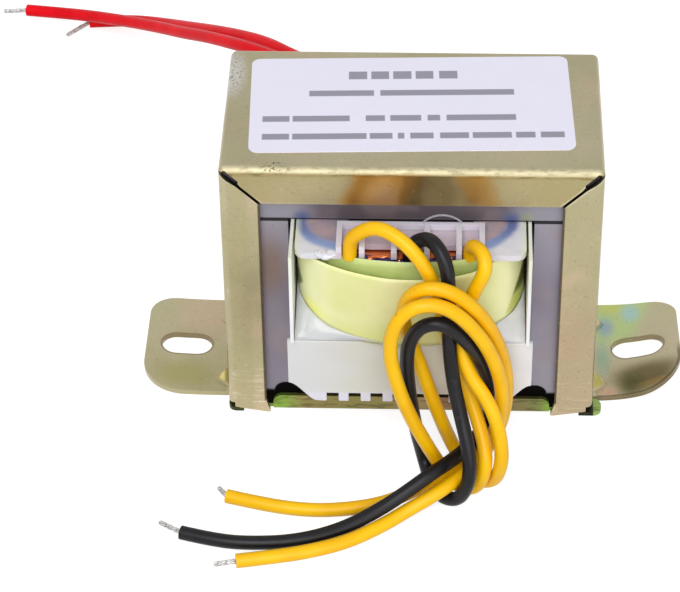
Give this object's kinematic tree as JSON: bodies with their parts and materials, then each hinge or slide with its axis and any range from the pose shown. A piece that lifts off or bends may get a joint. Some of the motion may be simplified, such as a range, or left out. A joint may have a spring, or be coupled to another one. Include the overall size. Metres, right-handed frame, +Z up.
{
  "type": "laminated chassis transformer",
  "caption": "low-voltage mains transformer: E and I sheet core in a folded zinc-plated bracket with two slotted ears, split bobbin, tape and flying leads",
  "frame": {"origin": "on the underside of the base plate, midway between the two fixing slots", "axes": "+X along the sheets from ear to ear, +Y from the front with the yellow and black leads to the back, +Z up"},
  "size_m": [0.1446, 0.1768, 0.0571],
  "materials": {
    "core_steel": "satin",
    "zinc_yellow": "satin",
    "zinc_green": "satin",
    "nylon_clear": "satin",
    "strip_white": "matte",
    "nylon_cream": "satin",
    "copper_wire": "satin",
    "tape_yellow": "satin",
    "tape_blue": "satin",
    "label_white": "satin",
    "tinned": "satin",
    "filament": "gloss",
    "yellow_wire": "satin",
    "black_wire": "satin",
    "red_wire": "satin"
  },
  "bodies": {
    "root": {"e_sheets_upright": "core_steel", "i_sheets_top": "core_steel", "e_sheets_inverted": "core_steel", "i_sheets_bottom": "core_steel", "bracket": "zinc_yellow", "base_plate": "zinc_green", "bobbin": "nylon_clear", "strip_right": "strip_white", "strip_left": "strip_white", "apron_front": "nylon_cream", "apron_back": "nylon_cream", "primary_winding": "copper_wire", "primary_tape": "tape_yellow", "secondary_winding": "copper_wire", "blue_tape": "tape_blue", "yellow_tape_inner": "tape_yellow", "yellow_tape_outer": "tape_yellow", "label": "label_white", "winding_tails": "copper_wire", "lead_joints": "tinned", "loose_filament": "filament", "lead_yellow_left": "yellow_wire", "lead_black": "black_wire", "lead_yellow_right": "yellow_wire", "lead_red_near": "red_wire", "lead_red_far": "red_wire", "tip_yellow_left": "tinned", "tip_black": "tinned", "tip_yellow_right": "tinned", "tip_red_near": "tinned", "tip_red_far": "tinned"}
  },
  "joints": []
}
